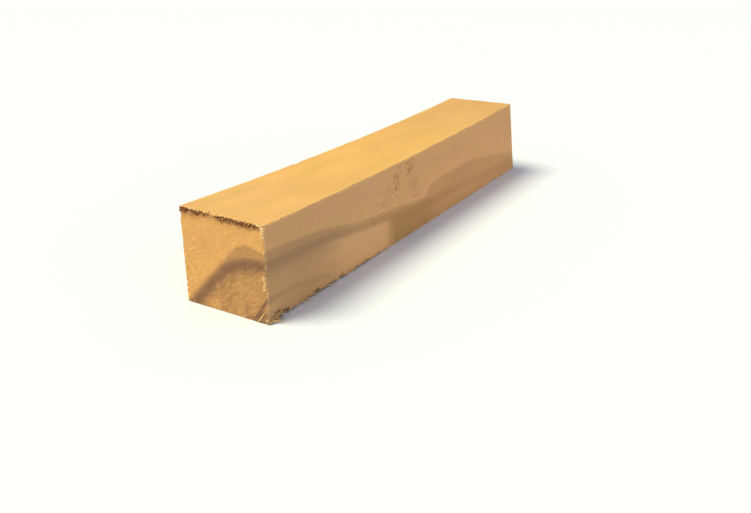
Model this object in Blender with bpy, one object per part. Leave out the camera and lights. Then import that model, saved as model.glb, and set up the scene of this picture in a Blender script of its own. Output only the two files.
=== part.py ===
# A plum wood pen blank: a square stick of solid wood. Its top is a little hollow, its far end was
# sawn out of square, its edges are nicked, and torn fibres stand out where the saw left the wood.
import math
import random

import bmesh
import bpy
from mathutils import Vector, noise

# Driving dimensions, in metres. The stick lies along X, with its near end at -X and its bottom at
# Z = 0. Seen from the near end, its right side faces -Y.
LENGTH = 0.120
WIDTH = 0.020
HEIGHT = 0.020

# How far the top and the left side are hollow at the middle of the length
TOP_HOLLOW = 0.0008
LEFT_HOLLOW = 0.0004

# The top is a little twisted: how far three of its corners lie above the nominal height, or below
NEAR_RIGHT_RISE = -0.0003
FAR_LEFT_RISE = -0.0004
FAR_RIGHT_RISE = 0.0005

# How far each corner of the far end lies beyond the nominal length, or short of it
FAR_TOP_LEFT = -0.0046
FAR_TOP_RIGHT = -0.0070
FAR_BOTTOM_LEFT = 0.0010
FAR_BOTTOM_RIGHT = -0.0014

# Rounding of the edges, and the nicks in them. A nick is cut where the noise is above the level.
EDGE_RADIUS = 0.00022
NICK_DEPTH = 0.0012
NICK_LEVEL = 0.28
NICK_SPACING = 0.0034

# The saw tore the lower right edge for this length from the near end, within this distance of the
# edge on the faces beside it
TORN_LENGTH = 0.046
TORN_FADE = 0.020
TORN_REACH = 0.003
TORN_DEPTH = 0.0016
TORN_SPACING = 0.0030

# Segments of the surface. They crowd towards the edges, where the nicks are.
LENGTH_SEGMENTS = 80
SIDE_SEGMENTS = 8
END_CROWDING = 0.6

# Torn fibres: sides of each one, the width of its tip, and the seed of their places
FIBRE_SIDES = 4
FIBRE_TIP = 0.00004
FIBRE_SEED = 24
FIBRE_FLOOR = 0.00012

# Rows of fibres. Places are metres along X, Y and Z between two ends. The outward lean, the slant
# along the edge and the rise are parts of a direction, and the length and root width are ranges.
LOWER_EDGE_SHORT = {
    "count": 24,
    "start": (-0.0595, -0.0096, 0.0006),
    "end": (-0.0160, -0.0096, 0.0006),
    "scatter": (0.0006, 0.0002, 0.0003),
    "direction": (0.5, -0.75, -0.05),
    "spread": (0.5, 0.2, 0.15),
    "length": (0.0006, 0.0011),
    "root": (0.00022, 0.00038),
}
LOWER_EDGE_LONG = {
    "count": 5,
    "start": (-0.0500, -0.0097, 0.0008),
    "end": (-0.0260, -0.0097, 0.0008),
    "scatter": (0.0012, 0.0001, 0.0003),
    "direction": (0.90, -0.36, -0.04),
    "spread": (0.08, 0.08, 0.05),
    "length": (0.0020, 0.0036),
    "root": (0.00024, 0.00036),
}
TOP_NEAR_EDGE = {
    "count": 34,
    "start": (-0.0596, 0.0096, 0.0195),
    "end": (-0.0596, -0.0095, 0.0195),
    "scatter": (0.0001, 0.0003, 0.0002),
    "direction": (-1.0, 0.0, -0.1),
    "spread": (0.1, 0.6, 0.3),
    "length": (0.0006, 0.0013),
    "root": (0.00028, 0.00048),
}
RIGHT_NEAR_EDGE = {
    "count": 10,
    "start": (-0.0597, -0.0096, 0.0185),
    "end": (-0.0597, -0.0096, 0.0040),
    "scatter": (0.0001, 0.0002, 0.0008),
    "direction": (-0.5, -0.8, 0.0),
    "spread": (0.3, 0.2, 0.5),
    "length": (0.0006, 0.0012),
    "root": (0.00020, 0.00034),
}
LOWER_NEAR_CORNER = {
    "count": 9,
    "start": (-0.0595, -0.0094, 0.0007),
    "end": (-0.0565, -0.0096, 0.0016),
    "scatter": (0.0003, 0.0002, 0.0003),
    "direction": (0.75, -0.6, -0.1),
    "spread": (0.3, 0.15, 0.1),
    "length": (0.0012, 0.0026),
    "root": (0.00026, 0.00040),
}

# Shaded side of the wood, as one plain colour
WOOD_COLOUR = (0.62, 0.36, 0.14, 1.0)
WOOD_ROUGHNESS = 0.72


def clear_scene():
    for item in list(bpy.data.objects):
        bpy.data.objects.remove(item, do_unlink=True)


def new_collection(name):
    collection = bpy.data.collections.new(name)
    bpy.context.scene.collection.children.link(collection)
    return collection


def wood_material():
    material = bpy.data.materials.new("plum_wood")
    material.use_nodes = True
    shader = material.node_tree.nodes["Principled BSDF"]
    shader.inputs["Base Color"].default_value = WOOD_COLOUR
    shader.inputs["Roughness"].default_value = WOOD_ROUGHNESS
    shader.inputs["Metallic"].default_value = 0.0
    return material


def add_object(name, mesh_data, collection, material):
    mesh = bpy.data.meshes.new(name)
    mesh_data.to_mesh(mesh)
    mesh_data.free()
    mesh.materials.append(material)
    item = bpy.data.objects.new(name, mesh)
    collection.objects.link(item)
    return item


def subdivide_along(mesh_data, axis, cuts):
    # Cuts every edge that runs along one axis of the cube.
    edges = []
    for edge in mesh_data.edges:
        run = edge.verts[1].co - edge.verts[0].co
        if abs(run[axis]) > 0.9 * run.length:
            edges.append(edge)
    bmesh.ops.subdivide_edges(mesh_data, edges=edges, cuts=cuts, use_grid_fill=True)


def crowd_length(share):
    # Share of the length, 0 to 1, with the stations closer together near both ends.
    return share - END_CROWDING * math.sin(2 * math.pi * share) / (2 * math.pi)


def crowd_side(share):
    # Share of a side, 0 to 1, with the lines closer together near both edges.
    return 0.5 - 0.5 * math.cos(math.pi * share)


def torn_share(point, half_size):
    # 1 on the torn stretch of the lower right edge, 0 away from it.
    from_near_end = point.x + half_size[0]
    length_left = max(0.0, min(1.0, (TORN_LENGTH - from_near_end) / TORN_FADE))
    from_edge = max(point.y + half_size[1], point.z + half_size[2])
    return length_left * max(0.0, 1.0 - from_edge / TORN_REACH)


def edge_radius(point, half_size):
    # Radius of the nearest edge at this place, larger in a nick and where the edge is torn.
    nick = max(0.0, noise.noise(point / NICK_SPACING) - NICK_LEVEL)
    tear = max(0.0, noise.noise(point / TORN_SPACING)) * torn_share(point, half_size)
    return EDGE_RADIUS + NICK_DEPTH * nick + TORN_DEPTH * tear


def rounded(point, half_size):
    # Pulls a point of a box in to the rounding of the nearest edge. Face points stay put.
    radius = edge_radius(point, half_size)
    core = Vector(
        max(radius - half, min(half - radius, value))
        for value, half in zip(point, half_size)
    )
    outward = point - core
    return core + outward * (radius / outward.length)


def far_end_offset(left, up):
    # Blend between the four corners of the far end. Both shares run from 0 to 1.
    bottom = FAR_BOTTOM_RIGHT + (FAR_BOTTOM_LEFT - FAR_BOTTOM_RIGHT) * left
    top = FAR_TOP_RIGHT + (FAR_TOP_LEFT - FAR_TOP_RIGHT) * left
    return bottom + (top - bottom) * up


def top_rise(along, left):
    # Blend between the heights of the four corners of the top. Both shares run from 0 to 1.
    near = NEAR_RIGHT_RISE * (1.0 - left)
    far = FAR_RIGHT_RISE + (FAR_LEFT_RISE - FAR_RIGHT_RISE) * left
    return near + (far - near) * along


def sawn(point):
    # Moves a point of the nicked box to its place on the sawn stick.
    along = point.x / LENGTH + 0.5
    left = point.y / WIDTH + 0.5
    up = point.z / HEIGHT + 0.5
    bow = 4.0 * along * (1.0 - along)
    return Vector((
        point.x + far_end_offset(left, up) * along,
        point.y - LEFT_HOLLOW * bow * left,
        point.z + (top_rise(along, left) - TOP_HOLLOW * bow) * up + HEIGHT / 2,
    ))


def build_stick():
    stick = bmesh.new()
    bmesh.ops.create_cube(stick, size=1.0)
    for axis, segments in enumerate((LENGTH_SEGMENTS, SIDE_SEGMENTS, SIDE_SEGMENTS)):
        subdivide_along(stick, axis, segments - 1)
    half_size = (LENGTH / 2, WIDTH / 2, HEIGHT / 2)
    for vertex in stick.verts:
        share = vertex.co + Vector((0.5, 0.5, 0.5))
        point = Vector((
            LENGTH * (crowd_length(share.x) - 0.5),
            WIDTH * (crowd_side(share.y) - 0.5),
            HEIGHT * (crowd_side(share.z) - 0.5),
        ))
        vertex.co = sawn(rounded(point, half_size))
    return stick


def fibre_places(row, draw):
    # Yields the root, direction, length and root radius of each fibre in a row.
    start, end = Vector(row["start"]), Vector(row["end"])
    for index in range(row["count"]):
        share = (index + draw.uniform(0.1, 0.9)) / row["count"]
        root = start.lerp(end, share)
        direction = Vector(row["direction"])
        for axis in range(3):
            root[axis] += row["scatter"][axis] * draw.uniform(-1, 1)
            direction[axis] += row["spread"][axis] * draw.uniform(-1, 1)
        yield root, direction.normalized(), draw.uniform(*row["length"]), draw.uniform(*row["root"])


def build_fibre(root, direction, length, radius):
    # A tapered splinter that starts inside the wood and ends clear of the floor.
    tip = root + direction * length
    tip.z = max(tip.z, FIBRE_FLOOR)
    run = tip - root
    fibre = bmesh.new()
    bmesh.ops.create_cone(
        fibre, cap_ends=True, segments=FIBRE_SIDES,
        radius1=radius, radius2=FIBRE_TIP, depth=run.length,
    )
    turn = run.to_track_quat("Z", "Y").to_matrix().to_4x4()
    bmesh.ops.transform(fibre, matrix=turn, verts=fibre.verts)
    bmesh.ops.translate(fibre, vec=root + run / 2, verts=fibre.verts)
    return fibre


def fuse(target, additions):
    # Joins a collection's objects to the target in one closed body, then removes them.
    union = target.modifiers.new("fused fibres", "BOOLEAN")
    union.operation = "UNION"
    union.operand_type = "COLLECTION"
    union.collection = additions
    union.solver = "EXACT"
    evaluated = target.evaluated_get(bpy.context.evaluated_depsgraph_get())
    fused = bpy.data.meshes.new_from_object(evaluated)
    target.modifiers.remove(union)
    target.data = fused
    for item in list(additions.objects):
        bpy.data.objects.remove(item, do_unlink=True)
    bpy.data.collections.remove(additions)


def build_blank():
    clear_scene()
    parts = new_collection("plum_wood_pen_blank")
    fibres = new_collection("torn_fibres")
    wood = wood_material()
    blank = add_object("blank", build_stick(), parts, wood)
    draw = random.Random(FIBRE_SEED)
    rows = (LOWER_EDGE_SHORT, LOWER_EDGE_LONG, TOP_NEAR_EDGE, RIGHT_NEAR_EDGE, LOWER_NEAR_CORNER)
    for row in rows:
        for place in fibre_places(row, draw):
            add_object("fibre", build_fibre(*place), fibres, wood)
    fuse(blank, fibres)


build_blank()
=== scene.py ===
# Plum wood pen blank: the finish of a rough-sawn stick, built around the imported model.
import math
import random

import bmesh
import bpy
from mathutils import Matrix, Vector, noise


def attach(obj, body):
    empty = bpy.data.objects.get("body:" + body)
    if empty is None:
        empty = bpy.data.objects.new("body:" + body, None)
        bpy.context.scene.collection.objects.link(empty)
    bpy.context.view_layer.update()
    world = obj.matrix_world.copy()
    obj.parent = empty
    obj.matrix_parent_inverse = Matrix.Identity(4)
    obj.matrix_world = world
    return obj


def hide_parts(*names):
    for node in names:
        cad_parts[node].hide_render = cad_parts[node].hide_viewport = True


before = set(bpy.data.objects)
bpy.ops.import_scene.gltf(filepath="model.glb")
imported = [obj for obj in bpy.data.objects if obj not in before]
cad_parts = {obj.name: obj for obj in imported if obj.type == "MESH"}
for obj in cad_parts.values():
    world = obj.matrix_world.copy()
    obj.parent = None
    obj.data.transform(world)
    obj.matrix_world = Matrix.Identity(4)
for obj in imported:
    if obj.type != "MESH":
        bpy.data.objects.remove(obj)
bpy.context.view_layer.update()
print("frame loaded: one stick of wood")

mm = 0.001

# The stick, in metres: the same form as the solid, on a finer mesh
stick = {
    "length": 0.120, "width": 0.020, "height": 0.020,
    "topHollow": 0.0008, "leftHollow": 0.0004,
    "nearRightRise": -0.0003, "farLeftRise": -0.0004, "farRightRise": 0.0005,
    "farTopLeft": -0.0046, "farTopRight": -0.0070,
    "farBottomLeft": 0.0010, "farBottomRight": -0.0014,
    "lengthSegments": 470, "sideSegments": 46, "lengthCrowding": 0.35, "sideCrowding": 0.78,
    # rounding of the edges, with nicks, a ragged line and the torn lower right edge
    "edgeRadius": 0.00015, "nickDepth": 0.0008, "nickLevel": 0.28, "nickSpacing": 0.0034,
    "raggedDepth": 0.00022, "raggedSpacing": 0.0006,
    "tornDepth": 0.0010, "tornSpacing": 0.0030, "tornLength": 0.046, "tornFade": 0.020,
    "tornReach": 0.003,
    # the side is cut back under a ragged line: its height, as shares, its depth, and the painted
    # shade laid on the cut-back strip
    "toothHeight": 0.0013, "toothMean": 0.34, "toothWave": 0.8, "toothRipple": 0.5,
    "toothSpacing": 0.0020, "toothFineness": 3.1, "toothEdge": 0.00012, "toothDepth": 0.0013,
    "toothPaintedShade": 1.8,
    # relief of the long faces and of the end grain
    "sawRipple": 0.000010, "sawPitch": 0.0023, "sawSlant": 0.2, "sawPatch": 0.012,
    "grainRelief": 0.000014, "grainLength": 0.009, "grainWidth": 0.0006,
    "endRelief": 0.00003, "endScratchPitch": 0.0006, "endScratchLength": 0.006,
    "endScratchSlant": 35.0, "endPits": 0.5, "endPitSize": 0.0005,
    # width of the pale band along the edges: worn wood, and a painted highlight
    "wearAndHighlightWidth": 0.0012,
}

# Two rows of small gouges across the grain of the right side, in metres from the near end's
# lower right corner: where each row starts and ends, its count, and the size of a gouge
gouges = {
    "rows": (((0.0502, 0.0142), (0.0520, 0.0186), 5), ((0.0566, 0.0186), (0.0600, 0.0092), 9)),
    "scatter": 0.0004, "along": 0.0015, "up": 0.00048, "depth": 0.00017, "curl": 0.9,
    "sizes": (0.7, 1.2), "lip": 0.6, "lipBack": 0.6, "lipUp": 1.6, "lipNarrow": 2.5,
    "reach": (2.5, 3.5), "seed": 7,
}

halfSize = Vector((stick["length"], stick["width"], stick["height"])) / 2
nearEnd = -halfSize.x
rightSide = -halfSize.y


def smoothStep(low, high, value):
    share = max(0.0, min(1.0, (value - low) / (high - low)))
    return share * share * (3.0 - 2.0 * share)


def crowded(share, crowding):
    # closer lines towards both ends of a side
    return share - crowding * math.sin(2 * math.pi * share) / (2 * math.pi)


def tornAlong(point):
    # 1 next to the near end, and 0 beyond the torn stretch of the lower right edge
    left = stick["tornLength"] - point.x + nearEnd
    return max(0.0, min(1.0, left / stick["tornFade"]))


def edgeRadius(point):
    nick = max(0.0, noise.noise(point / stick["nickSpacing"]) - stick["nickLevel"])
    ragged = max(0.0, noise.noise(point / stick["raggedSpacing"]))
    tear = max(0.0, noise.noise(point / stick["tornSpacing"])) * stick["tornDepth"]
    fromEdge = max(point.y - rightSide, point.z + halfSize.z)
    tear *= tornAlong(point) * max(0.0, 1.0 - fromEdge / stick["tornReach"])
    return (stick["edgeRadius"] + nick * stick["nickDepth"] + ragged * stick["raggedDepth"]
            + tear)


def toothCut(point):
    # 1 where the right side is cut back, under the ragged line of its torn lower edge
    along = tornAlong(point)
    if along <= 0.0 or point.y > rightSide + stick["toothDepth"] * 1.5:
        return 0.0
    station = point.x / stick["toothSpacing"]
    wave = noise.noise(Vector((station, 3.7, 0.0)))
    ripple = noise.noise(Vector((station * stick["toothFineness"], 8.2, 0.0)))
    line = stick["toothHeight"] * along * (
        stick["toothMean"] + stick["toothWave"] * wave + stick["toothRipple"] * ripple)
    height = point.z + halfSize.z
    return smoothStep(-stick["toothEdge"], stick["toothEdge"], line - height)


def longRelief(point):
    # faint saw ripple across the grain, and raised grain along it
    slanted = point.x + stick["sawSlant"] * point.z
    ripple = math.sin(2 * math.pi * slanted / stick["sawPitch"])
    patch = 0.5 + 0.5 * noise.noise(point / stick["sawPatch"])
    grain = noise.noise(Vector((point.x / stick["grainLength"], point.y / stick["grainWidth"],
                                point.z / stick["grainWidth"])))
    return ripple * patch * stick["sawRipple"] + grain * stick["grainRelief"]


def endRelief(point):
    # slanting saw scratches over torn pores
    slant = math.radians(stick["endScratchSlant"])
    across = point.z * math.cos(slant) + point.y * math.sin(slant)
    along = point.z * math.sin(slant) - point.y * math.cos(slant)
    scratch = noise.noise(Vector((across / stick["endScratchPitch"],
                                  along / stick["endScratchLength"], point.x / stick["width"])))
    pit = noise.noise(point / stick["endPitSize"])
    return (scratch + stick["endPits"] * pit) * stick["endRelief"]


def gougePlaces():
    draw = random.Random(gouges["seed"])
    places = []
    for start, end, count in gouges["rows"]:
        for index in range(count):
            share = index / (count - 1)
            where = Vector(start).lerp(Vector(end), share)
            where.x += nearEnd + gouges["scatter"] * draw.uniform(-1, 1)
            where.y += gouges["scatter"] * draw.uniform(-1, 1) - halfSize.z
            places.append((where, draw.uniform(*gouges["sizes"])))
    return places


def gougeAt(point, places):
    # below 0 in a gouge, above 0 on the lip that it raised
    value = 0.0
    reachAlong, reachUp = gouges["reach"]
    for where, size in places:
        along = (point.x - where.x) / (gouges["along"] * size)
        up = (point.z - where.y) / (gouges["up"] * size)
        if abs(along) < reachAlong and abs(up) < reachUp:
            curl = up - gouges["curl"] * along * along
            value -= size * math.exp(-along * along - curl * curl)
            lip = gouges["lipNarrow"] * (along + gouges["lipBack"]) ** 2
            value += gouges["lip"] * size * math.exp(-lip - (up - gouges["lipUp"]) ** 2)
    return value


def farOffset(left, up):
    low = stick["farBottomRight"] + (stick["farBottomLeft"] - stick["farBottomRight"]) * left
    high = stick["farTopRight"] + (stick["farTopLeft"] - stick["farTopRight"]) * left
    return low + (high - low) * up


def topRise(along, left):
    # the top is a little twisted
    near = stick["nearRightRise"] * (1.0 - left)
    far = stick["farRightRise"] + (stick["farLeftRise"] - stick["farRightRise"]) * left
    return near + (far - near) * along


def sawn(point):
    along = point.x / stick["length"] + 0.5
    left = point.y / stick["width"] + 0.5
    up = point.z / stick["height"] + 0.5
    bow = 4.0 * along * (1.0 - along)
    return Vector((
        point.x + farOffset(left, up) * along,
        point.y - stick["leftHollow"] * bow * left,
        point.z + (topRise(along, left) - stick["topHollow"] * bow) * up + halfSize.z,
    ))


def subdivideAlong(mesh, axis, cuts):
    edges = []
    for edge in mesh.edges:
        run = edge.verts[1].co - edge.verts[0].co
        if abs(run[axis]) > 0.9 * run.length:
            edges.append(edge)
    bmesh.ops.subdivide_edges(mesh, edges=edges, cuts=cuts, use_grid_fill=True)


def finishObject(name, mesh, material):
    data = bpy.data.meshes.new(name)
    mesh.to_mesh(data)
    mesh.free()
    data.materials.append(material)
    data.shade_smooth()
    item = bpy.data.objects.new(name, data)
    bpy.context.scene.collection.objects.link(item)
    return item


def buildStick(material):
    mesh = bmesh.new()
    bmesh.ops.create_cube(mesh, size=1.0)
    segments = (stick["lengthSegments"], stick["sideSegments"], stick["sideSegments"])
    for axis, count in enumerate(segments):
        subdivideAlong(mesh, axis, count - 1)
    endGrain, rightward, edgeWearAndHighlight, paintedReliefShading = (
        mesh.verts.layers.float.new(name)
        for name in ("endGrain", "rightSide", "edgeWearAndHighlight", "paintedReliefShading")
    )
    crowding = (stick["lengthCrowding"], stick["sideCrowding"], stick["sideCrowding"])
    places = gougePlaces()
    for vertex in mesh.verts:
        flat = Vector(
            2 * halfSize[axis] * (crowded(vertex.co[axis] + 0.5, crowding[axis]) - 0.5)
            for axis in range(3)
        )
        radius = edgeRadius(flat)
        core = Vector(
            max(radius - halfSize[axis], min(halfSize[axis] - radius, flat[axis]))
            for axis in range(3)
        )
        outward = (flat - core).normalized()
        facing = outward.x * outward.x
        # gouges are cut in the right side only, and nothing stands out of the bottom
        gouge = gougeAt(flat, places) if outward.y < -0.9 else 0.0
        height = facing * endRelief(flat) + (1.0 - facing) * longRelief(flat)
        height += gouge * gouges["depth"]
        if outward.z < -0.5:
            height = min(0.0, height)
        place = core + outward * (radius + height)
        cut = toothCut(flat)
        place.y += stick["toothDepth"] * cut
        vertex.co = sawn(place)
        vertex[endGrain] = facing
        vertex[rightward] = max(0.0, -outward.y)
        # painted shade: darker in the gouges and in the cut-back strip under the torn edge, and
        # painted light on the lips that the gouges raised
        vertex[paintedReliefShading] = gouge - stick["toothPaintedShade"] * cut
        gaps = sorted(halfSize[axis] - abs(flat[axis]) for axis in range(3))
        vertex[edgeWearAndHighlight] = 1.0 - smoothStep(0.0, stick["wearAndHighlightWidth"], gaps[1])
    return finishObject("stick", mesh, material)


# Torn fibres, in millimetres. Each row runs between two points of the square stick, before it is
# hollowed. A fibre leaves along its direction, or "out", with the spread around it, bends by
# "droop", is dark where "char" is near 1, as burnt wood and, under the near end's top lip, as
# painted shadow, and has the colour of the side, with its painted cool shade, where "dull" is
# near 1, not of fresh wood. "clump" is the noise level under which no fibre grows. Heights count
# from the bottom of the stick in the solid's rows, and from its middle in the others.

def table(columns, *rows):
    # one dictionary for each row, and a row may leave out its last values
    return [dict(zip(columns.split(), row)) for row in rows]


solidRows = table(
    "count start end scatter direction spread length root char dull",
    (24, (-59.5, -9.6, 0.6), (-16, -9.6, 0.6), (0.6, 0.2, 0.3), (0.5, -0.75, -0.05),
     (0.5, 0.2, 0.15), (0.6, 1.1), (0.22, 0.38), 0.12, 1.3),
    (5, (-50, -9.7, 0.8), (-26, -9.7, 0.8), (1.2, 0.1, 0.3), (0.9, -0.36, -0.04),
     (0.08, 0.08, 0.05), (2, 3.6), (0.24, 0.36), 0, 0.3),
    (34, (-59.6, 9.6, 19.5), (-59.6, -9.5, 19.5), (0.1, 0.3, 0.2), (-1, 0, -0.1), (0.1, 0.6, 0.3),
     (0.6, 1.3), (0.28, 0.48), 0.55, 0.2),
    (10, (-59.7, -9.6, 18.5), (-59.7, -9.6, 4), (0.1, 0.2, 0.8), (-0.5, -0.8, 0), (0.3, 0.2, 0.5),
     (0.6, 1.2), (0.2, 0.34), 0, 0.2),
    (9, (-59.5, -9.4, 0.7), (-56.5, -9.6, 1.6), (0.3, 0.2, 0.3), (0.75, -0.6, -0.1),
     (0.3, 0.15, 0.1), (1.2, 2.6), (0.26, 0.4), 0, 1.7),
)
fibres = {
    "solidSeed": 24, "seed": 11, "steps": 5, "sides": 5, "fineSteps": 3, "fineSides": 3,
    "floor": 0.12, "flatness": 0.55, "tip": 0.12, "taper": 0.35, "kink": 0.10, "sag": -0.12,
    "slimness": 0.8, "charSpread": (0.3, 1.6), "dullSpread": (0.3, 1.1), "dull": (0.0, 0.4),
    "fewLong": 1.6, "clumpSize": 1.1, "clumpStray": 0.4,
}
fineRows = table(
    "count start end sunk scatter out spread droop length width char clump dull",
    # pale lip along the near end's top edge, and a dark beard under it on both sides of the gap:
    # burnt fibres and painted shadow under the lip
    (90, (-60, 9.9, 9.9), (-60, -9.9, 9.9), (0.1, 0, 0.12), (0.05, 0, 0.1), (-1, 0, 0.1),
     (0.2, 0.7, 0.35), (0, 0, -0.2), (0.2, 0.62), (0.05, 0.12), (0, 0.2), -0.15),
    (30, (-60, 9.9, 9.6), (-60, 3.4, 9.6), (0.1, 0, 0), (0.03, 0, 0.25), (-0.8, 0, -0.5),
     (0.2, 0.5, 0.4), (0, 0, -0.2), (0.25, 0.55), (0.07, 0.16), (0.6, 1), 0),
    (46, (-60, 1, 9.5), (-60, -9.1, 9.5), (0.1, 0, 0), (0.03, 0, 0.28), (-0.8, 0, -0.5),
     (0.2, 0.5, 0.4), (0, 0, -0.2), (0.25, 0.6), (0.07, 0.16), (0.6, 1), 0),
    # chips down the near end's right edge
    (46, (-60, -10, 9.7), (-60, -10, -9.5), (0.1, 0.1, 0), (0.1, 0.1, 0), (-0.7, -0.6, 0),
     (0.3, 0.3, 0.6), (0, 0, -0.05), (0.15, 0.5), (0.04, 0.12), (0, 0.25), 0.12, (0.2, 1)),
    # the ragged lower right edge, thick near the near end and thinner further on
    (170, (-59.8, -10, -9.8), (-17, -10, -9.8), (0, 0.2, -0.1), (0.2, 0.1, 0.2), (0.5, -0.8, -0.1),
     (0.7, 0.2, 0.3), (0, 0, -0.2), (0.3, 0.8), (0.04, 0.13), (0, 0.3), -0.02, (0.3, 1)),
    (60, (-17, -10, -9.8), (60, -10, -9.8), (0, 0.1, -0.1), (0.2, 0.1, 0.1), (0.4, -1, -0.1),
     (0.8, 0.2, 0.3), (0, 0, -0.1), (0.15, 0.4), (0.03, 0.07), (0, 0.3), 0.1, (0.5, 1)),
    # the torn bundle at the lower near corner
    (28, (-59.8, -9.9, -9.5), (-56.5, -9.9, -8.6), (-0.1, 0.2, 0), (0.3, 0.1, 0.4),
     (0.7, -0.7, -0.15), (0.4, 0.2, 0.2), (0.3, 0, -0.3), (0.4, 1), (0.06, 0.18), (0, 0.1), -0.2,
     (0.8, 1)),
    # a thin fringe along the other sawn edges
    (90, (-59.5, -10, 9.9), (60, -10, 9.9), (0, 0.1, 0.1), (0.2, 0, 0), (0.3, -0.6, 0.5),
     (0.7, 0.3, 0.3), (0, 0, -0.05), (0.12, 0.34), (0.03, 0.07), (0, 0.3), 0.12),
    (110, (-59.5, 10, -9.8), (60, 10, -9.8), (0, -0.1, -0.2), (0.2, 0, 0.1), (0.3, 1, 0),
     (0.7, 0.3, 0.3), (0, 0, -0.1), (0.15, 0.55), (0.03, 0.08), (0, 0.4), 0.05),
    (130, (60, 9.8, -9.8), (60, -9.8, -9.8), (-0.1, 0, -0.2), (0, 0.1, 0.2), (1, 0, 0),
     (0.2, 0.6, 0.3), (0, 0, -0.1), (0.2, 0.7), (0.03, 0.09), (0.1, 0.7), -0.1),
    (70, (-60, 9.8, -9.8), (-60, -9.2, -9.8), (0.1, 0, -0.2), (0, 0, 0.1), (-1, 0, 0),
     (0.2, 0.6, 0.2), (0, 0, -0.1), (0.15, 0.4), (0.03, 0.08), (0.1, 0.6), 0.1),
)

# Torn lumps, half sunk in the edges, with the range of their mean radius
chips = {
    "sides": 8, "steps": 5, "fewLarge": 1.5, "stretch": (0.6, 1.3), "clumpSize": 0.9,
    "clumpStray": 0.3, "roughness": 0.5, "lumpiness": 1.7, "roughSize": 0.4,
}
chipRows = table(
    "count start end scatter size char clump dull",
    # pale lip of the near end's top edge, and dark lumps under it beside the gap: burnt wood and
    # painted shadow under the lip
    (100, (-60, 9.8, 9.9), (-60, -9.8, 9.9), (0.06, 0, 0.06), (0.08, 0.21), (0, 0.12), -0.1),
    (56, (-60, 9.9, 9.4), (-60, 3.4, 9.4), (0.03, 0, 0.34), (0.1, 0.26), (0.85, 1), 0),
    (84, (-60, 1.1, 9.5), (-60, -9.1, 9.4), (0.03, 0, 0.3), (0.15, 0.34), (0.85, 1), 0.05),
    # pale chips at the near end's top right corner, down its right edge, in the dark line under
    # the lip
    (9, (-60, -9.8, 9.7), (-60, -9.8, 7.2), (0.1, 0.1, 0), (0.26, 0.46), (0, 0.05), -1),
    (26, (-60, -9.9, 7.5), (-60, -9.9, -9.8), (0.08, 0.1, 0), (0.08, 0.24), (0, 0.3), 0.12,
     (0.2, 0.9)),
    (12, (-60, -9.7, 0), (-60, -9.7, -3.2), (0.06, 0.1, 0), (0.18, 0.34), (0, 0.05), -1),
    (2, (-60, 7.6, 9.3), (-60, 7, 8.9), (0, 0, 0), (0.18, 0.24), (0, 0), -1),
    # the ragged lower right edge
    (150, (-59.8, -9.9, -9.4), (-17, -9.9, -9.4), (0.2, 0.1, 0.4), (0.09, 0.3), (0, 0.2), 0,
     (0.6, 1)),
    (26, (-59, -10, -9.3), (-22, -10, -9.3), (0.2, 0.1, 0.3), (0.1, 0.26), (0, 0.05), 0.1),
    # the torn mass at the lower near corner
    (44, (-59.7, -9.9, -9.4), (-56.6, -10.2, -8.8), (0.3, 0.2, 0.3), (0.22, 0.52), (0, 0.04), -0.2,
     (0.8, 1)),
    (10, (-59.7, -10.2, -9.7), (-57.5, -10.6, -9.5), (0.2, 0.1, 0.1), (0.12, 0.24), (0, 0.05), -1),
    # notches of the top right edge close to the near end
    (30, (-59.7, -9.9, 9.9), (-50, -9.9, 9.9), (0.2, 0, 0.1), (0.09, 0.25), (0, 0.4), -0.2),
    # pale pips and dark pits of the specked patch on the right side
    (170, (-23.5, -10.05, -0.5), (-11.5, -10.05, 3.5), (2.2, 0.04, 2.2), (0.09, 0.2), (0, 0), 0,
     (0, 0.2)),
    (60, (-23.5, -10, -0.5), (-10, -10, 3.5), (2.2, 0.02, 2.2), (0.07, 0.15), (0.2, 0.4), 0,
     (0.8, 1)),
    # the same beside the two rows of gouges
    (34, (-11, -10.06, 3.5), (-9.8, -10.06, 8.8), (1.2, 0.04, 0.4), (0.11, 0.22), (0, 0), -0.1,
     (0, 0.3)),
    (26, (-11, -10, 3.5), (-9.8, -10, 8.8), (1.2, 0.01, 0.4), (0.1, 0.24), (0.15, 0.35), -0.1,
     (0.8, 1)),
    (44, (-5.2, -10.06, 8.8), (-2, -10.06, -0.8), (1.1, 0.04, 0.4), (0.11, 0.22), (0, 0), -0.1,
     (0, 0.3)),
    (34, (-5.2, -10, 8.8), (-2, -10, -0.8), (1.1, 0.01, 0.4), (0.1, 0.24), (0.15, 0.35), -0.1,
     (0.8, 1)),
    # small chips on the other edges
    (80, (-59.5, -9.9, 9.9), (56, -9.9, 9.9), (0.2, 0, 0), (0.06, 0.18), (0, 0.3), 0.08),
    (26, (-60, 9.8, 9), (-60, 9.8, -9.8), (0.08, 0.08, 0), (0.06, 0.14), (0, 0.3), 0),
    (30, (-59.5, 9.8, 9.8), (59, 9.8, 9.8), (0.2, 0, 0), (0.06, 0.13), (0, 0.3), 0.1),
    (60, (60, 9.8, -9.6), (60, -9.8, -9.6), (0.1, 0, 0.2), (0.08, 0.22), (0.1, 0.7), 0),
)

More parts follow.
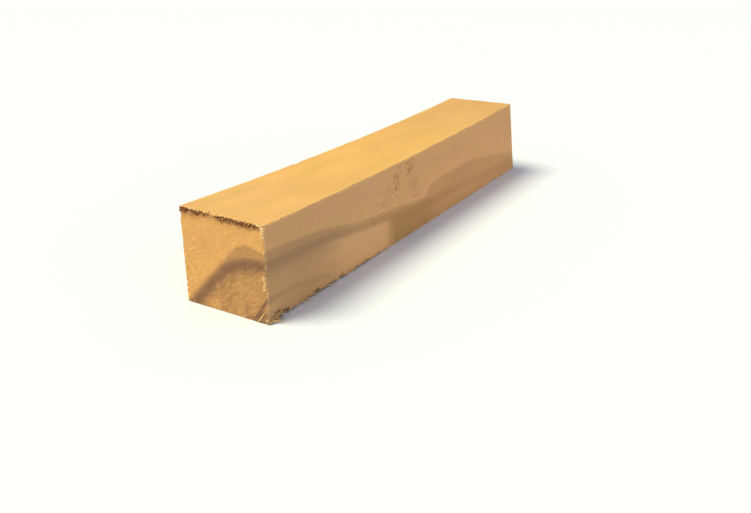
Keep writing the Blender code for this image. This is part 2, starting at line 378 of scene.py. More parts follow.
# Single splinters: a flake across the end's lower right corner, and slivers of the lower edge
setSplinters = table(
    "root out length width droop",
    ((-60, -7.8, -9.7), (-0.04, -0.6, 0.8), 3.1, 0.26, (0, 0, 0)),
    ((-59.7, -9.6, -9.4), (0.72, -0.69, 0), 3.4, 0.36, (0, 0, -0.2)),
    ((-59.4, -9.6, -9), (0.8, -0.55, 0), 2.4, 0.26, (0, 0, -0.3)),
    ((-50, -9.7, -9.2), (0.74, -0.67, 0), 3.6, 0.22, (0, 0, -0.3)),
    ((-48.8, -9.7, -9), (0.8, -0.6, 0), 2, 0.2, (0, 0, -0.2)),
    ((-38.5, -9.7, -9), (0.7, -0.7, 0), 1.4, 0.24, (0, 0, -0.2)),
    ((-31, -9.7, -9.2), (0.85, -0.52, 0), 2.2, 0.2, (0, 0, -0.2)),
    ((-27, -9.7, -9.2), (0.8, -0.6, 0), 1.5, 0.18, (0, 0, -0.1)),
)


def fibreShape(sides, steps):
    # a tapered splinter from the origin to Z = 1, with its widest ring at the root
    shape = bmesh.new()
    bmesh.ops.create_cone(shape, cap_ends=True, segments=sides, radius1=1.0,
                          radius2=fibres["tip"], depth=1.0)
    bmesh.ops.translate(shape, verts=shape.verts, vec=(0.0, 0.0, 0.5))
    subdivideAlong(shape, 2, steps - 1)
    data = bpy.data.meshes.new("fibreShape")
    shape.to_mesh(data)
    shape.free()
    return data


def drawTints(row, draw):
    return draw.uniform(*row["char"]), draw.uniform(*row.get("dull", fibres["dull"]))


def setTints(mesh, first, tints):
    for layer, value in zip(mesh.verts.layers.float.values(), tints):
        for vertex in mesh.verts[first:]:
            vertex[layer] = value


def addFibre(mesh, shape, root, direction, length, width, droop, tints, draw):
    # lays one copy of the shape along a bent line that ends clear of the floor
    first = len(mesh.verts)
    mesh.from_mesh(shape)
    mesh.verts.ensure_lookup_table()
    spin = Matrix.Rotation(draw.uniform(0, math.tau), 3, "Z")
    turn = direction.to_track_quat("Z", "Y").to_matrix() @ spin
    kink = Vector((draw.uniform(-1, 1), draw.uniform(-1, 1), draw.uniform(-1, 1)))
    kink *= length * fibres["kink"]
    for vertex in mesh.verts[first:]:
        along = vertex.co.z
        radius = width * (1.0 - fibres["taper"] * along * along)
        offset = turn @ Vector((vertex.co.x * radius, vertex.co.y * radius * fibres["flatness"],
                                along * length))
        place = root + offset + droop * along * along + kink * math.sin(3.0 * along)
        place.z = max(place.z, fibres["floor"] * mm)
        vertex.co = place
    setTints(mesh, first, tints)


def addSolidFibres(mesh):
    # the splinters of the solid, in the same places, bent and flattened
    draw = random.Random(fibres["solidSeed"])
    bend = random.Random(fibres["seed"])
    shape = fibreShape(fibres["sides"], fibres["steps"])
    for row in solidRows:
        for index in range(row["count"]):
            share = (index + draw.uniform(0.1, 0.9)) / row["count"]
            root = Vector(row["start"]).lerp(Vector(row["end"]), share)
            direction = Vector(row["direction"])
            for axis in range(3):
                root[axis] += row["scatter"][axis] * draw.uniform(-1, 1)
                direction[axis] += row["spread"][axis] * draw.uniform(-1, 1)
            length = draw.uniform(*row["length"]) * mm
            width = draw.uniform(*row["root"]) * mm * fibres["slimness"]
            droop = Vector((0.0, 0.0, fibres["sag"] * length))
            tints = (row["char"] * bend.uniform(*fibres["charSpread"]),
                     row["dull"] * bend.uniform(*fibres["dullSpread"]))
            addFibre(mesh, shape, root * mm, direction.normalized(), length, width, droop,
                     tints, bend)
    bpy.data.meshes.remove(shape)


def addFineFibres(mesh):
    draw = random.Random(fibres["seed"] + 1)
    shape = fibreShape(fibres["fineSides"], fibres["fineSteps"])
    for row in fineRows:
        for index in range(row["count"]):
            flat = Vector(row["start"]).lerp(Vector(row["end"]), draw.random())
            direction = Vector(row["out"])
            for axis in range(3):
                flat[axis] += row["sunk"][axis] + row["scatter"][axis] * draw.uniform(-1, 1)
                direction[axis] += row["spread"][axis] * draw.uniform(-1, 1)
            size = draw.random() ** fibres["fewLong"]
            length = row["length"][0] + (row["length"][1] - row["length"][0]) * size
            width = draw.uniform(*row["width"])
            tints = drawTints(row, draw)
            stray = fibres["clumpStray"] * draw.uniform(-1, 1)
            if noise.noise(flat / fibres["clumpSize"]) + stray < row["clump"]:
                continue
            addFibre(mesh, shape, sawn(flat * mm), direction.normalized(), length * mm,
                     width * mm, Vector(row["droop"]) * mm, tints, draw)
    bpy.data.meshes.remove(shape)


def addSetSplinters(mesh):
    draw = random.Random(fibres["seed"] + 2)
    shape = fibreShape(fibres["sides"], fibres["steps"] + 2)
    for splinter in setSplinters:
        root, droop = Vector(splinter["root"]) * mm, Vector(splinter["droop"]) * mm
        addFibre(mesh, shape, sawn(root), Vector(splinter["out"]).normalized(),
                 splinter["length"] * mm, splinter["width"] * mm, droop,
                 (0.0, draw.uniform(*fibres["dull"])), draw)
    bpy.data.meshes.remove(shape)


def addChips(mesh):
    # lumps from one ball, each squashed, turned and roughened
    draw = random.Random(fibres["seed"] + 3)
    ball = bmesh.new()
    bmesh.ops.create_uvsphere(ball, u_segments=chips["sides"], v_segments=chips["steps"],
                              radius=1.0)
    shape = bpy.data.meshes.new("chipShape")
    ball.to_mesh(shape)
    ball.free()
    for row in chipRows:
        for index in range(row["count"]):
            flat = Vector(row["start"]).lerp(Vector(row["end"]), draw.random())
            for axis in range(3):
                flat[axis] += row["scatter"][axis] * draw.uniform(-1, 1)
            share = draw.random() ** chips["fewLarge"]
            size = row["size"][0] + (row["size"][1] - row["size"][0]) * share
            stretch = Vector(draw.uniform(*chips["stretch"]) for axis in range(3)) * size * mm
            turn = Vector((draw.uniform(-1, 1), draw.uniform(-1, 1), 1)).to_track_quat("Z", "Y")
            tints = drawTints(row, draw)
            stray = chips["clumpStray"] * draw.uniform(-1, 1)
            if noise.noise(flat / chips["clumpSize"]) + stray < row["clump"]:
                continue
            first = len(mesh.verts)
            mesh.from_mesh(shape)
            mesh.verts.ensure_lookup_table()
            centre = sawn(flat * mm)
            for vertex in mesh.verts[first:]:
                spot = vertex.co * chips["lumpiness"] + centre / (chips["roughSize"] * mm)
                rough = 1.0 + chips["roughness"] * noise.noise(spot)
                place = centre + turn @ (vertex.co * stretch * rough)
                place.z = max(place.z, fibres["floor"] * mm)
                vertex.co = place
            setTints(mesh, first, tints)
    bpy.data.meshes.remove(shape)


def buildFibres(material):
    mesh = bmesh.new()
    for name in ("char", "dull"):
        mesh.verts.layers.float.new(name)
    addSolidFibres(mesh)
    addFineFibres(mesh)
    addSetSplinters(mesh)
    addChips(mesh)
    return finishObject("tornFibres", mesh, material)


# Short ways to add nodes. Most find their tree through a socket that they are given.

def isSocket(value):
    return isinstance(value, bpy.types.NodeSocket)


def addNode(kind, settings=None, inputs=None, tree=None):
    inputs = inputs or {}
    if tree is None:
        tree = next(value.id_data for value in inputs.values() if isSocket(value))
    node = tree.nodes.new(kind)
    for name, value in (settings or {}).items():
        setattr(node, name, value)
    for name, value in inputs.items():
        if isSocket(value):
            tree.links.new(value, node.inputs[name])
        else:
            node.inputs[name].default_value = value
    return node


def mathNode(operation, *values):
    return addNode("ShaderNodeMath", {"operation": operation}, dict(enumerate(values))).outputs[0]


def plus(first, second):
    return mathNode("ADD", first, second)


def minus(first, second):
    return mathNode("SUBTRACT", first, second)


def times(first, second):
    return mathNode("MULTIPLY", first, second)


def rangeNode(value, low, high, toLow=0.0, toHigh=1.0, kind="SMOOTHSTEP"):
    return addNode("ShaderNodeMapRange", {"interpolation_type": kind}, {
        "Value": value, "From Min": low, "From Max": high, "To Min": toLow, "To Max": toHigh,
    }).outputs[0]


def straightRange(value, low, high, toLow, toHigh):
    return rangeNode(value, low, high, toLow, toHigh, "LINEAR")


def mixValue(factor, first, second):
    return addNode("ShaderNodeMix", {"data_type": "FLOAT"},
                   {0: factor, 2: first, 3: second}).outputs[0]


def mixColour(factor, first, second, blend="MIX"):
    return addNode("ShaderNodeMix", {"data_type": "RGBA", "blend_type": blend},
                   {0: factor, 6: first, 7: second}).outputs[2]


def tinted(colour, tint):
    return mixColour(1.0, colour, tint, "MULTIPLY")


def toned(colour, tone):
    return addNode("ShaderNodeVectorMath", {"operation": "SCALE"},
                   {0: colour, "Scale": tone}).outputs[0]


def attribute(tree, name):
    return addNode("ShaderNodeAttribute", {"attribute_name": name}, tree=tree).outputs["Fac"]


def splitPlace(place):
    return addNode("ShaderNodeSeparateXYZ", None, {0: place}).outputs


def noiseNode(vector, size, turn=0.0, detail=3.0, rough=0.6, bend=0.0):
    # noise whose cells have this size in millimetres, turned about the stick's length
    stretched = addNode("ShaderNodeMapping", {"vector_type": "TEXTURE"}, {
        "Vector": vector, "Scale": size, "Rotation": (math.radians(turn), 0.0, 0.0),
    }).outputs[0]
    return addNode("ShaderNodeTexNoise", None, {
        "Vector": stretched, "Scale": 1.0, "Detail": detail, "Roughness": rough,
        "Distortion": bend,
    }).outputs["Fac"]


def dotNodes(vector, density, channel, dot, chance, kind):
    # soft dots, one to a cell, with a strength of its own for each
    cells = addNode("ShaderNodeTexVoronoi", {"feature": "F1"},
                    {"Vector": vector, "Scale": density, "Randomness": 1.0})
    pick = addNode("ShaderNodeSeparateColor", None, {0: cells.outputs["Color"]}).outputs[channel]
    return times(rangeNode(cells.outputs["Distance"], *dot), rangeNode(pick, *chance, kind))


def curveNode(value, points, width, height):
    # a smooth curve through the given points, none of them above this width and height
    node = addNode("ShaderNodeFloatCurve", None, {"Value": mathNode("DIVIDE", value, width)})
    curve = node.mapping.curves[0]
    spots = [(where / width, level / height) for where, level in points]
    curve.points[0].location = spots[0]
    curve.points[-1].location = spots[-1]
    for spot in spots[1:-1]:
        curve.points.new(*spot)
    for point in curve.points:
        point.handle_type = "AUTO_CLAMPED"
    node.mapping.update()
    return times(node.outputs[0], height)


def arrange(tree):
    # columns of nodes, each left of the nodes that it feeds
    column = {node.name: 0 for node in tree.nodes}
    changed = True
    while changed:
        changed = False
        for link in tree.links:
            wanted = column[link.to_node.name] + 1
            if column[link.from_node.name] < wanted:
                column[link.from_node.name] = wanted
                changed = True
    rows = {}
    for node in tree.nodes:
        across = column[node.name]
        rows[across] = rows.get(across, 0) + 1
        node.location = (-220 * across, -340 * rows[across])


def newGroup(name, outputs):
    group = bpy.data.node_groups.new(name, "ShaderNodeTree")
    group.interface.new_socket("Position", in_out="INPUT", socket_type="NodeSocketVector")
    for label in outputs:
        group.interface.new_socket(label, in_out="OUTPUT", socket_type="NodeSocketFloat")
    return group, group.nodes.new("NodeGroupInput").outputs["Position"]


def finishGroup(group, values):
    end = group.nodes.new("NodeGroupOutput")
    for label, value in values.items():
        group.links.new(value, end.inputs[label])
    arrange(group)
    return group


# Growth rings run along the stick. Seen on the near end, in millimetres from its lower left
# corner, a dark ring climbs from the lower left and levels out near the right side. Its level
# sinks along the stick, and a second, fainter ring comes up through the far half. A thin inner
# ring crosses the lower right corner. Curves are pairs of a place and a level there, and ranges
# give two places and the levels at them, from 0 to 1 where they are left out.
rings = {
    "slope": 1.07, "foot": -0.8, "level": 13.6, "corner": 6.0, "span": 124.0, "pace": 0.969,
    "heights": {"sink": 12.0, "second": 6.0, "fringe": 2.0},
    "sink": ((0, 0), (9, 0.2), (15, 0.7), (21, 1.2), (27, 2), (33, 2.9), (39, 3.6), (45, 4.1),
             (51, 4.8), (57, 5.5), (65, 6.1), (80, 6.9), (93, 7.7), (105, 8.2), (124, 9)),
    "second": ((0, 0), (58, 0), (62, 0.3), (66, 2.6), (69, 3.4), (75, 4), (81, 4.3), (87, 4.6),
               (93, 4.5), (99, 4), (105, 3.4), (111, 2.7), (117, 1.9), (124, 1.1)),
    "stretch": ((0, 1), (4, 0.9), (21, 0.86), (27, 0.74), (45, 0.64), (57, 0.66), (66, 0.85),
                (80, 1), (124, 1)),
    "wobble": 0.45, "wobbleSize": (14.0, 3.2, 3.2), "depth": 16.0,
    "profile": ((0, 0.08), (0.3, 0.46), (0.7, 0.72), (1.2, 0.92), (2, 1), (2.6, 0.93),
                (3.1, 0.82), (3.7, 0.73), (4.5, 0.65), (5.3, 0.57), (6.2, 0.49), (7, 0.43),
                (8, 0.3), (9.5, 0.18), (12, 0.15), (16, 0.24)),
    "fringe": ((0, 2), (9, 2), (18, 1.5), (27, 0.6), (34, 0.15), (124, 0.15)),
    "fringeRise": (9.0, 15.0), "fringeFall": (16.0, 20.0, 1.0, 0.58),
    "fringeShade": (-0.1, 0.9, 0.0, 0.62),
    "farShade": ((0, 1), (20, 1), (27, 0.86), (36, 0.7), (42, 0.74), (50, 0.9), (60, 0.96),
                 (66, 0.9), (80, 0.72), (92, 0.6), (124, 0.66)),
    "secondReach": ((0, 0), (59, 0), (66, 1), (84, 1), (95, 0.8), (124, 0.8)),
    "secondShade": (0.0, 1.3, 0.0, 0.50),
    "lowRise": (46.0, 49.0), "lowFall": (62.0, 84.0, 0.84, 0.0), "lowDepth": (0.6, 2.0),
    "innerSlope": 1.51, "innerLevel": 5.8, "innerSink": 2.0, "innerWidth": 6.0,
    "inner": ((0, 0), (0.55, 0.05), (0.8, 0.25), (1.1, 0.72), (1.4, 1), (1.7, 0.97), (2, 0.72),
              (2.4, 0.6), (3.2, 0.64), (5, 0.75), (6, 0.75)),
    "innerFade": ((0, 1), (1.5, 0.95), (5, 0.82), (12, 0.74), (20, 0.62), (27, 0), (124, 0)),
    "pale": ((0, 0), (12, 0.05), (22, 0.45), (31, 0.95), (40, 1), (45, 0.85), (48.5, 0),
             (124, 0)),
    "paleDepth": (1.9, 3.2),
    "nearCorner": (1.0, 7.0, 0.28, 0.0), "nearCornerDepth": (10.4, 11.6),
}


def alongCurve(along, name):
    return curveNode(along, rings[name], rings["span"], rings["heights"].get(name, 1.0))


def buildRingGroup():
    group, place = newGroup("growth rings", ("Ring", "Depth"))
    wobble = noiseNode(place, rings["wobbleSize"], detail=4.0)
    wobble = straightRange(wobble, 0.0, 1.0, -rings["wobble"], rings["wobble"])
    split = splitPlace(place)
    along = mathNode("DIVIDE", plus(split["X"], halfSize.x / mm), rings["pace"])
    across = minus(halfSize.y / mm, split["Y"])
    # depth inside the main ring: positive within the band and below it
    sink = alongCurve(along, "sink")
    up = plus(plus(split["Z"], sink), wobble)
    slope = times(minus(across, rings["foot"]), rings["slope"])
    slant = mathNode("DIVIDE", minus(up, slope), math.hypot(1.0, rings["slope"]))
    edge = mathNode("SMOOTH_MAX", slant, minus(up, rings["level"]), rings["corner"])
    depth = times(edge, -1.0)
    # the band is wider beyond the near end
    stretched = times(depth, alongCurve(along, "stretch"))
    shade = curveNode(stretched, rings["profile"], rings["depth"], 1.0)
    # a paler fringe outside the band, wide at the right side near the near end
    wide = times(rangeNode(across, *rings["fringeRise"]), rangeNode(across, *rings["fringeFall"]))
    fringe = plus(depth, times(alongCurve(along, "fringe"), wide))
    shade = mathNode("MAXIMUM", shade, rangeNode(fringe, *rings["fringeShade"]))
    shade = times(shade, alongCurve(along, "farShade"))
    # the second ring
    outer = rangeNode(plus(depth, alongCurve(along, "second")), *rings["secondShade"])
    outer = times(outer, alongCurve(along, "secondReach"))
    shade = mathNode("MAXIMUM", shade, outer)
    # a dark stretch below the middle of the stick, behind a pale patch
    low = times(rangeNode(along, *rings["lowRise"]), rangeNode(along, *rings["lowFall"]))
    low = times(low, rangeNode(depth, *rings["lowDepth"]))
    shade = mathNode("MAXIMUM", shade, low)
    pale = times(alongCurve(along, "pale"), rangeNode(depth, *rings["paleDepth"]))
    shade = times(shade, minus(1.0, pale))
    # the thin inner ring: it sinks twice as fast, and leaves the side after a short way
    inner = minus(plus(split["Z"], times(sink, rings["innerSink"])), rings["innerLevel"])
    fromSide = minus(across, 2 * halfSize.y / mm)
    inner = minus(times(fromSide, rings["innerSlope"]), inner)
    inner = plus(mathNode("DIVIDE", inner, math.hypot(1.0, rings["innerSlope"])), 1.0)
    inner = curveNode(inner, rings["inner"], rings["innerWidth"], 1.0)
    shade = mathNode("MAXIMUM", shade, times(inner, alongCurve(along, "innerFade")))
    corner = times(rangeNode(along, *rings["nearCorner"]),
                   rangeNode(depth, *rings["nearCornerDepth"]))
    return finishGroup(group, {"Ring": plus(shade, corner), "Depth": depth})


grain = {
    "streak": (28.0, 1.8, 1.8), "fine": (5.0, 0.36, 0.36), "mottle": (16.0, 4.5, 4.5),
    # dots: cells to a millimetre, size and strength
    "poreCells": (0.55, 3.4, 3.4), "poreDot": (0.08, 0.30, 1.0, 0.0),
    "poreChance": (0.60, 0.70, 0.0, 1.0),
    "speckCells": 1.35, "speckDot": (0.12, 0.40, 1.0, 0.0), "speckChance": (0.2, 1.0, -0.5, 1.0),
}


def buildGrainGroup():
    # streaks along the grain on the long faces, which end as specks on the end grain
    names = ("Streak", "Fine", "Pore", "Speck", "Mottle")
    group, place = newGroup("wood grain", names)
    dashes = addNode("ShaderNodeMapping", None,
                     {"Vector": place, "Scale": grain["poreCells"]}).outputs[0]
    return finishGroup(group, dict(zip(names, (
        noiseNode(place, grain["streak"], detail=4.0, bend=0.4),
        noiseNode(place, grain["fine"], rough=0.65, bend=0.2),
        dotNodes(dashes, 1.0, 0, grain["poreDot"], grain["poreChance"], "SMOOTHSTEP"),
        dotNodes(place, grain["speckCells"], 1, grain["speckDot"], grain["speckChance"],
                 "LINEAR"),
        noiseNode(place, grain["mottle"], detail=1.0, bend=0.3),
    ))))


# Colours are linear. The long faces and the end grain each go from plain wood to dark ring.
# Ranges are given as in the rings, and "along" means millimetres from the near end.
wood = {
    "light": (0.735, 0.440, 0.158, 1.0), "dark": (0.422, 0.260, 0.104, 1.0),
    "farDark": (0.422, 0.246, 0.073, 1.0), "farDarkAlong": (18.0, 46.0),
    "endLight": (0.654, 0.352, 0.111, 1.0), "endDark": (0.222, 0.114, 0.056, 1.0),
    "endRingPower": 1.5, "endMask": (0.35, 0.75),
    # painted shade: the right side, which lies in shade, is tinted cooler than the top, less red
    # and green and more blue
    "rightShadeTint": (0.96, 0.91, 1.09, 1.0), "rightFarShadeTint": (0.96, 0.865, 1.02, 1.0),
    "rightFarAlong": (30.0, 66.0),
    "yellow": (1.0, 1.0, 0.88, 1.0), "yellowX": 52.0, "yellowReach": (10.0, 48.0, 1.0, 0.0),
    "blush": (1.005, 0.982, 1.05, 1.0), "blushSize": (15.0, 5.0, 5.0),
    "blushRange": (0.35, 0.65),
    "burntAndShadow": (0.17, 0.050, 0.010, 1.0), "scorchedAndShadow": (0.44, 0.19, 0.055, 1.0),
    "fresh": (0.90, 0.60, 0.29, 1.0), "freshTone": (0.25, 0.75, 0.85, 1.1), "freshRing": 0.5,
    # pale edges: worn wood, and a painted highlight along them
    "wornAndHighlight": (0.96, 0.62, 0.22, 1.0), "wearAndHighlightPower": 3.0, "wearAndHighlightPatches": (0.42, 0.60),
    "wearAndHighlightShare": (0.0, 0.5, 0.6, 0.12), "gougePaintedShading": 0.24,
    "roughness": 0.80, "specular": 0.25,
    "bumpStrength": 0.24, "bumpDistance": 0.00012, "bumpGrain": (0.0, 1.0, 0.25, 0.6),
}
sideLook = {
    "marks": (("Streak", (0.25, 0.75, -0.03, 0.03)), ("Fine", (0.25, 0.75, -0.035, 0.035)),
              ("Pore", (0.0, 1.0, 0.0, -0.10))),
    "specks": (0.3, 1.5, 1.15, 0.22),
    "patchX": 42.0, "patchZ": 12.0, "patchLength": 8.5, "patchHeight": 4.0,
    "rightMarks": (0.0, 1.0, 0.30, 1.0), "leftMarks": (9.0, 9.8, 0.0, 1.4),
    "mottle": (0.25, 0.75, -0.06, 0.06), "rightMottle": (0.0, 1.0, 1.0, 0.3),
    "topAlong": (50.0, 120.0, 1.0, 0.86), "rightAlong": (0.0, 68.0, 0.90, 1.04),
    # painted light: the right side is made lighter towards the floor, against the shade that falls
    # low on it
    "rightPaintedLift": ((0, 1.27), (2, 1.24), (4, 1.16), (7, 1.07), (10, 1), (13, 0.94), (17, 0.91),
                  (22, 0.91)),
    "liftSpan": 22.0, "liftHeight": 1.5,
}
endLook = {
    "fine": (0.25, 0.75, 0.97, 1.03), "pores": -0.08,
    # saw scratches: angle in degrees, size and strength
    "scratches": ((36.0, (3.0, 4.0, 0.34), 0.12), (20.0, (3.0, 6.0, 0.50), 0.10),
                  (48.0, (3.0, 2.4, 0.28), 0.12), (-52.0, (3.0, 2.0, 0.30), 0.07)),
    "scratchLine": (0.53, 0.70, -0.003), "ringScratches": (0.5, 3.0, 1.0, 2.0),
    # upright rays and blots inside the ring: turn, size, strength and detail
    "blots": ((0.0, (3.0, 0.42, 3.2), 0.11, 3.0), (0.0, (3.0, 3.0, 3.6), 0.16, 1.0),
              (-42.0, (3.0, 3.4, 0.70), 0.16, 2.0)),
    "blotRange": (0.3, 0.7), "darkBlots": -0.85, "ringBlots": (0.5, 3.0, 0.25, 1.0),
    # flecks low on the left
    "fleckY": (6.0, 9.0), "fleckZ": (8.0, 13.0, 1.0, 0.0), "flecks": (0.0, 1.0, 0.06, 1.15),
}
# The dark line under the near end's top edge: burnt wood, and painted shadow under the overhanging
# lip
burnAndShadowLine = {
    "height": (0.3, 0.7, 0.7125, 1.0925), "heightSize": (4.0, 2.4, 3.0),
    "width": ((0, 1.35), (3, 1.3), (5, 1.05), (8, 1), (14, 1), (17, 0.8), (20, 0.72)),
    "span": 20.0, "mostWidth": 1.5,
    "ragged": (0.32, 0.68, -0.30, 0.45), "raggedSize": (2.0, 0.75, 0.9),
    "gapY": 2.1, "gap": (0.55, 1.1, 0.10, 1.0), "reach": (-59.4, -58.8, 1.0, 0.0),
    "core": (0.55, 1.0, 1.0, 0.0), "halo": (0.8, 2.2, 0.75, 0.0),
}


def patchDistance(split):
    # 0 in the middle of the specked patch on the right side, and 1 on the ellipse around it
    offX = minus(split["X"], sideLook["patchX"] - halfSize.x / mm)
    offX = mathNode("DIVIDE", offX, sideLook["patchLength"])
    offZ = mathNode("DIVIDE", minus(split["Z"], sideLook["patchZ"]), sideLook["patchHeight"])
    return plus(mathNode("POWER", offX, 2.0), mathNode("POWER", offZ, 2.0))


def sideTone(onRight, marks, split, along):
    # streaks, short pores, a patch of specks and a slow change along the right side and the top,
    # with painted light that makes the right side lighter towards its bottom
    texture = 0.0
    for label, span in sideLook["marks"]:
        texture = plus(straightRange(marks[label], *span), texture)
    specks = times(marks["Speck"], rangeNode(patchDistance(split), *sideLook["specks"]))
    texture = plus(texture, times(specks, onRight))
    texture = times(texture, mathNode("MAXIMUM", rangeNode(onRight, *sideLook["rightMarks"]),
                                      rangeNode(split["Y"], *sideLook["leftMarks"])))
    mottle = straightRange(marks["Mottle"], *sideLook["mottle"])
    texture = plus(texture, times(mottle, rangeNode(onRight, *sideLook["rightMottle"])))
    slowTop = straightRange(along, *sideLook["topAlong"])
    # painted light: lighter towards the bottom of the right side, against the shade near the floor
    slowRight = times(straightRange(along, *sideLook["rightAlong"]),
                      curveNode(split["Z"], sideLook["rightPaintedLift"], sideLook["liftSpan"],
                                sideLook["liftHeight"]))
    return times(plus(texture, 1.0), mixValue(onRight, slowTop, slowRight))


def endTone(place, marks, split, depth):
    # slanting saw scratches, upright rays and blots inside the ring, flecks low on the left
    tone = straightRange(marks["Fine"], *endLook["fine"])
    scratched = 0.0
    for angle, size, strength in endLook["scratches"]:
        lines = noiseNode(place, size, -angle, rough=0.5)
        scratched = plus(scratched, rangeNode(lines, *endLook["scratchLine"], strength))
    tone = plus(tone, times(scratched, rangeNode(depth, *endLook["ringScratches"])))
    inside = rangeNode(depth, *endLook["ringBlots"])
    for turn, size, strength, detail in endLook["blots"]:
        blots = noiseNode(place, size, turn, detail, 0.55)
        blots = straightRange(blots, *endLook["blotRange"], endLook["darkBlots"] * strength,
                              strength)
        tone = plus(tone, times(blots, inside))
    flecked = times(rangeNode(split["Y"], *endLook["fleckY"]),
                    rangeNode(split["Z"], *endLook["fleckZ"]))
    tone = plus(tone, times(marks["Speck"], straightRange(flecked, *endLook["flecks"])))
    return plus(tone, times(marks["Pore"], endLook["pores"]))


def nearTopEdge(place, split, endMask):
    # a ragged dark line with one gap, and a brown halo below it: burnt wood, and painted shadow
    # under the overhanging top lip
    halfWidth, top = halfSize.y / mm, 2 * halfSize.z / mm
    edge = straightRange(split["Y"], -halfWidth, halfWidth, top + stick["nearRightRise"] / mm, top)
    ragged = noiseNode(place, burnAndShadowLine["raggedSize"], rough=0.7)
    below = minus(minus(edge, split["Z"]), straightRange(ragged, *burnAndShadowLine["ragged"]))
    fromGap = mathNode("ABSOLUTE", minus(split["Y"], burnAndShadowLine["gapY"]))
    kept = times(rangeNode(fromGap, *burnAndShadowLine["gap"]), rangeNode(split["X"], *burnAndShadowLine["reach"]))
    kept = times(kept, endMask)
    slow = noiseNode(place, burnAndShadowLine["heightSize"], detail=1.0)
    height = times(straightRange(slow, *burnAndShadowLine["height"]),
                   curveNode(minus(halfWidth, split["Y"]), burnAndShadowLine["width"], burnAndShadowLine["span"],
                             burnAndShadowLine["mostWidth"]))
    share = mathNode("DIVIDE", below, height)
    return (times(rangeNode(share, *burnAndShadowLine["core"]), kept),
            times(rangeNode(share, *burnAndShadowLine["halo"]), kept))


def newWood(name, ringGroup, grainGroup):
    # a material with the place in millimetres, the ring outputs and the grain outputs
    material = bpy.data.materials.new(name)
    material.use_nodes = True
    centre = addNode("ShaderNodeTexCoord", tree=material.node_tree).outputs["Object"]
    place = addNode("ShaderNodeMapping", None,
                    {"Vector": centre, "Scale": (1 / mm, 1 / mm, 1 / mm)}).outputs[0]
    ring, marks = (addNode("ShaderNodeGroup", {"node_tree": group}, {"Position": place}).outputs
                   for group in (ringGroup, grainGroup))
    return material, place, ring, marks


def finishWood(material, colour, normal=None):
    tree = material.node_tree
    shader = tree.nodes["Principled BSDF"]
    tree.links.new(colour, shader.inputs["Base Color"])
    if normal is not None:
        tree.links.new(normal, shader.inputs["Normal"])
    shader.inputs["Roughness"].default_value = wood["roughness"]
    shader.inputs["Specular IOR Level"].default_value = wood["specular"]
    arrange(tree)
    return material


def buildWood(ringGroup, grainGroup):
    material, place, ring, marks = newWood("plumWood", ringGroup, grainGroup)
    tree = material.node_tree
    split = splitPlace(place)
    along = plus(split["X"], halfSize.x / mm)
    endFace = attribute(tree, "endGrain")
    endMask = rangeNode(endFace, *wood["endMask"])
    onRight = attribute(tree, "rightSide")
    # long faces, end grain, and the tone of both
    dark = mixColour(rangeNode(along, *wood["farDarkAlong"]), wood["dark"], wood["farDark"])
    longShade = mixColour(ring["Ring"], wood["light"], dark)
    # painted shade: the cooler tint of the right side, which lies in shade
    tint = mixColour(rangeNode(along, *wood["rightFarAlong"]), wood["rightShadeTint"],
                     wood["rightFarShadeTint"])
    longShade = mixColour(onRight, longShade, tinted(longShade, tint))
    endRing = mathNode("POWER", ring["Ring"], wood["endRingPower"])
    endShade = mixColour(endRing, wood["endLight"], wood["endDark"])
    tone = mixValue(endMask, sideTone(onRight, marks, split, along),
                    endTone(place, marks, split, ring["Depth"]))
    # painted shade in the gouges and the cut-back strip, and painted light on the gouges' lips
    tone = plus(tone, times(attribute(tree, "paintedReliefShading"), wood["gougePaintedShading"]))
    colour = toned(mixColour(endMask, longShade, endShade), tone)
    # a yellower middle of the top, and a slow blush
    yellow = mathNode("ABSOLUTE", minus(along, wood["yellowX"]))
    yellow = minus(rangeNode(yellow, *wood["yellowReach"]), plus(onRight, endMask))
    colour = mixColour(yellow, colour, tinted(colour, wood["yellow"]))
    blush = rangeNode(noiseNode(place, wood["blushSize"], detail=1.0), *wood["blushRange"])
    colour = mixColour(blush, colour, tinted(colour, wood["blush"]))
    # pale edges, of worn wood and painted highlight, and the dark line under the top lip, of burnt
    # wood and painted shadow
    # painted highlight along the edges, with worn wood
    wearAndHighlight = mathNode("POWER", attribute(tree, "edgeWearAndHighlight"), wood["wearAndHighlightPower"])
    wearAndHighlight = times(wearAndHighlight, rangeNode(marks["Fine"], *wood["wearAndHighlightPatches"]))
    wearAndHighlight = times(wearAndHighlight, rangeNode(endFace, *wood["wearAndHighlightShare"]))
    colour = mixColour(wearAndHighlight, colour, wood["wornAndHighlight"])
    # painted shadow under the overhanging top lip, with burnt wood: a dark core and a brown halo
    # below it
    burntAndShadow, scorchedAndShadow = nearTopEdge(place, split, endMask)
    colour = mixColour(scorchedAndShadow, colour, wood["scorchedAndShadow"])
    colour = mixColour(burntAndShadow, colour, wood["burntAndShadow"])
    height = plus(times(marks["Fine"], rangeNode(endMask, *wood["bumpGrain"])), tone)
    bump = addNode("ShaderNodeBump", None, {
        "Strength": wood["bumpStrength"], "Distance": wood["bumpDistance"], "Height": height,
    }).outputs[0]
    return finishWood(material, colour, bump)


def buildTornWood(ringGroup, grainGroup):
    material, _, ring, marks = newWood("tornWood", ringGroup, grainGroup)
    tree = material.node_tree
    pale = mixColour(times(ring["Ring"], wood["freshRing"]), wood["fresh"], wood["light"])
    pale = toned(pale, straightRange(marks["Fine"], *wood["freshTone"]))
    # far from fresh wood, a fibre has the colour of the side that it hangs on, with the right
    # side's painted cool shade
    sideWood = tinted(mixColour(ring["Ring"], wood["light"], wood["dark"]), wood["rightShadeTint"])
    colour = mixColour(attribute(tree, "dull"), pale, sideWood)
    return finishWood(material, mixColour(attribute(tree, "char"), colour, wood["burntAndShadow"]))


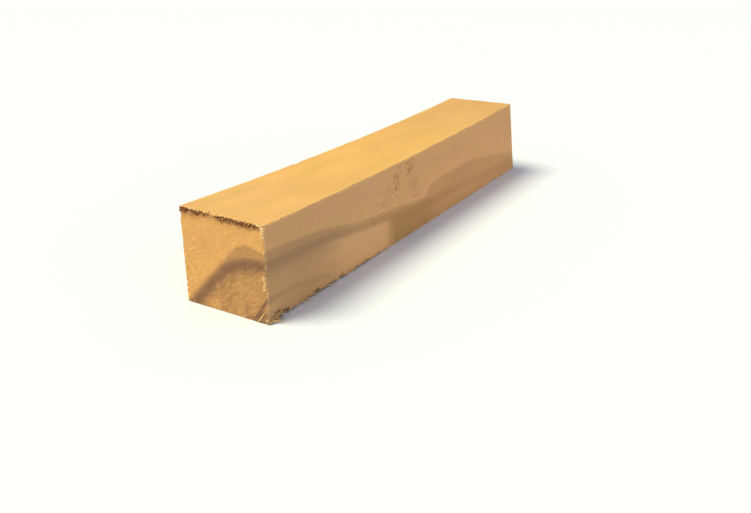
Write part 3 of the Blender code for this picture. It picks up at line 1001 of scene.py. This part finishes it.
# Floor, light and camera. The place and angles are those of the photograph, in the stick's frame.
view = {
    "place": (-0.16359, -0.09624, 0.07057), "turn": 31.262, "down": 23.016, "lens": 38.65,
    "nearest": 0.005,
}
studio = {
    "floorSize": 3.0, "floorColour": (0.80, 0.86, 1.0, 1.0), "floorRoughness": 0.9,
    "floorSpecular": 0.1, "ambient": (0.85, 0.90, 0.98, 1.0), "ambientStrength": 0.38,
    "lamps": (
        {"name": "key", "from": (-0.372, 0.32, 0.769), "power": 3.37, "softness": 28.0,
         "colour": (1.0, 0.92, 0.62)},
        {"name": "fill", "from": (-0.25, -0.95, 0.22), "power": 0.62, "softness": 70.0,
         "colour": (1.0, 0.97, 0.90)},
    ),
}


def buildFloor():
    mesh = bmesh.new()
    bmesh.ops.create_grid(mesh, x_segments=1, y_segments=1, size=studio["floorSize"])
    finish = bpy.data.materials.new("paleFloor")
    finish.use_nodes = True
    shader = finish.node_tree.nodes["Principled BSDF"]
    shader.inputs["Base Color"].default_value = studio["floorColour"]
    shader.inputs["Roughness"].default_value = studio["floorRoughness"]
    shader.inputs["Specular IOR Level"].default_value = studio["floorSpecular"]
    finishObject("floor", mesh, finish)


def buildLights():
    world = bpy.data.worlds.new("softRoom")
    world.use_nodes = True
    background = world.node_tree.nodes["Background"]
    background.inputs["Color"].default_value = studio["ambient"]
    background.inputs["Strength"].default_value = studio["ambientStrength"]
    bpy.context.scene.world = world
    for light in studio["lamps"]:
        lamp = bpy.data.lights.new(light["name"], "SUN")
        lamp.energy = light["power"]
        lamp.color = light["colour"]
        lamp.angle = math.radians(light["softness"])
        sun = bpy.data.objects.new(light["name"], lamp)
        sun.rotation_euler = (-Vector(light["from"])).to_track_quat("-Z", "Y").to_euler()
        bpy.context.scene.collection.objects.link(sun)


def buildCamera():
    lens = bpy.data.cameras.new("camera")
    lens.lens = view["lens"]
    lens.clip_start = view["nearest"]
    camera = bpy.data.objects.new("camera", lens)
    camera.location = view["place"]
    turn, down = math.radians(view["turn"]), math.radians(view["down"])
    ahead = Vector((math.cos(turn) * math.cos(down), math.sin(turn) * math.cos(down),
                    -math.sin(down)))
    camera.rotation_euler = ahead.to_track_quat("-Z", "Y").to_euler()
    bpy.context.scene.collection.objects.link(camera)
    bpy.context.scene.camera = camera
    bpy.context.scene.view_settings.view_transform = "Standard"


ringGroup = buildRingGroup()
grainGroup = buildGrainGroup()
plumWood = buildWood(ringGroup, grainGroup)
tornWood = buildTornWood(ringGroup, grainGroup)
print("wood finishes ready")

stickPiece = buildStick(plumWood)
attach(stickPiece, "root")
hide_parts("blank")
print("stick built:", len(stickPiece.data.polygons), "faces")

fibrePiece = buildFibres(tornWood)
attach(fibrePiece, "root")
print("torn fibres built:", len(fibrePiece.data.polygons), "faces")

buildFloor()
buildLights()
buildCamera()
print("studio ready")
